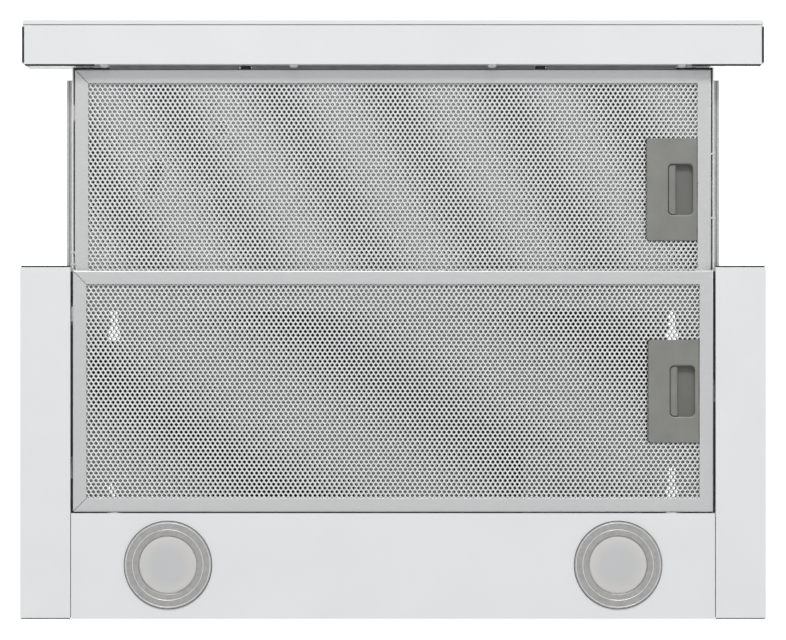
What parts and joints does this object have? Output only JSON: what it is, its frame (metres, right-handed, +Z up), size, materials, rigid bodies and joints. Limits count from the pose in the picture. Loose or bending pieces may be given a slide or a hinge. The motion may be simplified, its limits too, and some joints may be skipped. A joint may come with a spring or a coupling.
{
  "type": "under cabinet range hood",
  "caption": "Telescopic under-cabinet range hood, drawer pulled out: front bar, aluminium grease filters with latches, lamps, blower, flapped duct collar.",
  "frame": {"origin": "centre of the body's top plate, on its upper face, which is screwed up against the cabinet", "axes": "+Z up out of the duct collar, -Y towards the cook, where the filter drawer slides out, +X to the side of the keys and the filter latches"},
  "size_m": [0.6, 0.4824, 0.1795],
  "materials": {
    "white_enamel": "white baked enamel on sheet steel, satin gloss",
    "zinc_plated_steel": "bright zinc plating, dull grey, fine rolling marks",
    "filter_aluminium": "rolled aluminium sheet, satin",
    "expanded_mesh": "layers of bright expanded aluminium",
    "latch_grey": "moulded plastic with a fine texture",
    "lamp_bezel": "circular brushing, bright stepped edge",
    "lamp_diffuser": "frosted diffuser",
    "lamp_board": "white circuit board with light-emitting diodes",
    "turned_steel": "turned bright steel",
    "black_plastic": "moulded black plastic",
    "white_plastic": "moulded white plastic",
    "capacitor_can": "drawn aluminium can",
    "circuit_board": "green solder mask",
    "key_grey": "satin grey plastic",
    "rubber": "black rubber"
  },
  "bodies": {
    "housing": {"body_shell": "white_enamel", "left_wing": "white_enamel", "right_wing": "white_enamel", "light_panel": "white_enamel", "filter_tab_rail": "zinc_plated_steel", "filter_catch_rail": "zinc_plated_steel", "lamp_bezel_left": "lamp_bezel", "lamp_lens_left": "lamp_diffuser", "lamp_board_left": "lamp_board", "lamp_housing_left": "zinc_plated_steel", "lamp_bezel_right": "lamp_bezel", "lamp_lens_right": "lamp_diffuser", "lamp_board_right": "lamp_board", "lamp_housing_right": "zinc_plated_steel", "slide_outer_left": "zinc_plated_steel", "slide_outer_right": "zinc_plated_steel", "scroll_housing": "black_plastic", "scroll_cover": "black_plastic", "motor": "zinc_plated_steel", "capacitor": "capacitor_can", "electronics_box": "white_plastic", "cable_gland": "black_plastic", "outlet_collar": "zinc_plated_steel", "flap_pin": "turned_steel"},
    "drawer": {"drawer_side_left": "white_enamel", "drawer_side_right": "white_enamel", "drawer_front_beam": "zinc_plated_steel", "drawer_rear_beam": "zinc_plated_steel", "drawer_top_plate": "white_enamel", "front_bar": "white_enamel", "front_fascia": "white_enamel", "key_frame": "key_grey", "switch_board": "circuit_board", "bar_end_cap_left": "white_enamel", "bar_end_cap_right": "white_enamel", "bumper_left": "rubber", "bumper_right": "rubber", "slide_inner_left": "zinc_plated_steel", "slide_inner_right": "zinc_plated_steel", "front_filter_frame": "filter_aluminium", "front_filter_mesh": "expanded_mesh", "front_latch_plate": "latch_grey"},
    "front_latch": {"front_latch_slider": "latch_grey"},
    "rear_filter": {"rear_filter_frame": "filter_aluminium", "rear_filter_mesh": "expanded_mesh", "rear_latch_plate": "latch_grey"},
    "rear_latch": {"rear_latch_slider": "latch_grey"},
    "ball_cage_left": {"ball_cage_left": "turned_steel"},
    "ball_cage_right": {"ball_cage_right": "turned_steel"},
    "impeller": {"impeller": "black_plastic", "motor_shaft": "turned_steel", "impeller_nut": "turned_steel"},
    "flap_left": {"flap_left": "zinc_plated_steel"},
    "flap_right": {"flap_right": "zinc_plated_steel"},
    "key_light": {"key_light": "key_grey"},
    "key_off": {"key_off": "key_grey"},
    "key_low": {"key_low": "key_grey"},
    "key_medium": {"key_medium": "key_grey"},
    "key_high": {"key_high": "key_grey"}
  },
  "joints": [
    {"name": "drawer_slide", "type": "slide", "parent": "housing", "child": "drawer", "axis": [0, -1, 0], "range_m": [-0.16, 0]},
    {"name": "ball_cage_left_slide", "type": "slide", "parent": "housing", "child": "ball_cage_left", "axis": [0, -1, 0], "range_m": [-0.08, 0]},
    {"name": "ball_cage_right_slide", "type": "slide", "parent": "housing", "child": "ball_cage_right", "axis": [0, -1, 0], "range_m": [-0.08, 0]},
    {"name": "rear_filter_tilt", "type": "hinge", "parent": "housing", "child": "rear_filter", "pos_m": [-0.2579, -0.0417, -0.1492], "axis": [0, 1, 0], "range_deg": [0, 60]},
    {"name": "rear_latch_slide", "type": "slide", "parent": "rear_filter", "child": "rear_latch", "axis": [-1, 0, 0], "range_m": [0, 0.006], "stiffness_N_per_m": 250, "springref_m": -0.006},
    {"name": "front_latch_slide", "type": "slide", "parent": "drawer", "child": "front_latch", "axis": [-1, 0, 0], "range_m": [0, 0.006], "stiffness_N_per_m": 250, "springref_m": -0.006},
    {"name": "key_light_press", "type": "slide", "parent": "drawer", "child": "key_light", "axis": [0, 1, 0], "range_m": [0, 0.002], "stiffness_N_per_m": 400, "springref_m": -0.003},
    {"name": "key_off_press", "type": "slide", "parent": "drawer", "child": "key_off", "axis": [0, 1, 0], "range_m": [0, 0.002], "stiffness_N_per_m": 400, "springref_m": -0.003},
    {"name": "key_low_press", "type": "slide", "parent": "drawer", "child": "key_low", "axis": [0, 1, 0], "range_m": [0, 0.002], "stiffness_N_per_m": 400, "springref_m": -0.003},
    {"name": "key_medium_press", "type": "slide", "parent": "drawer", "child": "key_medium", "axis": [0, 1, 0], "range_m": [0, 0.002], "stiffness_N_per_m": 400, "springref_m": -0.003},
    {"name": "key_high_press", "type": "slide", "parent": "drawer", "child": "key_high", "axis": [0, 1, 0], "range_m": [0, 0.002], "stiffness_N_per_m": 400, "springref_m": -0.003},
    {"name": "impeller_spin", "type": "hinge", "parent": "housing", "child": "impeller", "pos_m": [-0.128, -0.014, -0.05], "axis": [0, 0, 1], "continuous": true},
    {"name": "flap_left_swing", "type": "hinge", "parent": "housing", "child": "flap_left", "pos_m": [0, 0.072, 0.008], "axis": [0, 1, 0], "range_deg": [0, 75]},
    {"name": "flap_right_swing", "type": "hinge", "parent": "housing", "child": "flap_right", "pos_m": [0, 0.072, 0.008], "axis": [0, -1, 0], "range_deg": [0, 75]}
  ],
  "couplings": [
    {"joint": "ball_cage_left_slide", "follows": "drawer_slide", "ratio": 0.5},
    {"joint": "ball_cage_right_slide", "follows": "drawer_slide", "ratio": 0.5}
  ]
}
